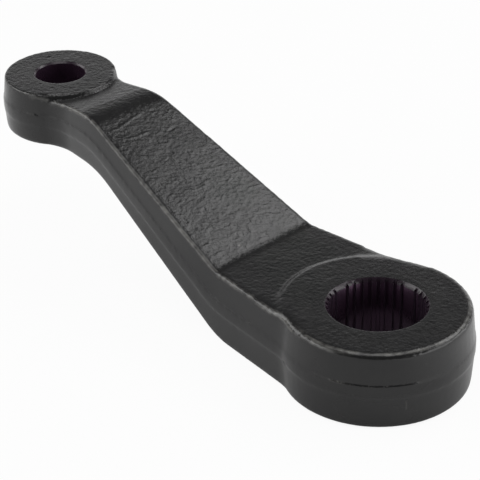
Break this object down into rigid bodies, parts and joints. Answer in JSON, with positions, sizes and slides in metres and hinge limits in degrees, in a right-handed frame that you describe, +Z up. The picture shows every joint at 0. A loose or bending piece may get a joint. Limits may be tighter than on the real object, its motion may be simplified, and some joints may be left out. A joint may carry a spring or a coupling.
{
  "type": "pitman arm",
  "caption": "Forged steel steering arm with a splined boss, a blade that steps up and narrows, and a tapered eye for a ball stud.",
  "frame": {"origin": "on the axis of the splined bore, in the plane of the boss's lower face", "axes": "+X from the splined bore to the stud eye, +Z up along both bores, +Y to the left of the arm"},
  "size_m": [0.2095, 0.062, 0.0531],
  "materials": {
    "coated_forging": "black satin coat over a rough forged skin"
  },
  "bodies": {
    "root": {"pitman_arm": "coated_forging"}
  },
  "joints": []
}
